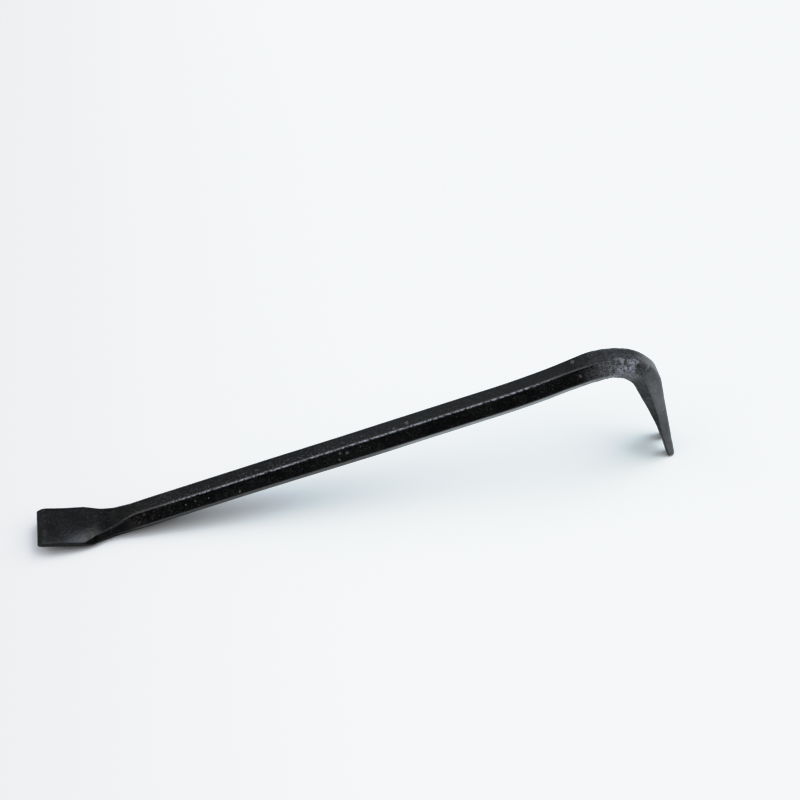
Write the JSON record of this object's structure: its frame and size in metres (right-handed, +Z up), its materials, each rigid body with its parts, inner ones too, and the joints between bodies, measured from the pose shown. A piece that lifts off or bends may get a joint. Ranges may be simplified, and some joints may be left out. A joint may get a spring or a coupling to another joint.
{
  "type": "pry bar",
  "caption": "Gooseneck pry bar of hexagonal steel: flat chisel blade at one end, bent hook thinning to a slotted nail claw at the other, painted black.",
  "frame": {"origin": "on the bench, under the middle of the bar's box, as the bar lies on its heel and claw tips", "axes": "+X along the bar from the chisel blade to the hook, +Y across it, +Z up from the bench"},
  "size_m": [0.5242, 0.036, 0.1233],
  "materials": {
    "black_paint": "semi-gloss black paint on a forged bar, with small chips",
    "black_paint_worn": "thin dull black paint over hammered, slightly greyed steel"
  },
  "bodies": {
    "root": {"chisel_blade": "black_paint", "blade_neck": "black_paint", "shank": "black_paint", "gooseneck_rise": "black_paint", "hook_shoulder": "black_paint", "hook_crown": "black_paint_worn", "hook_bend": "black_paint_worn", "claw_root": "black_paint_worn", "claw_tine_left": "black_paint_worn", "claw_tine_right": "black_paint_worn"}
  },
  "joints": []
}
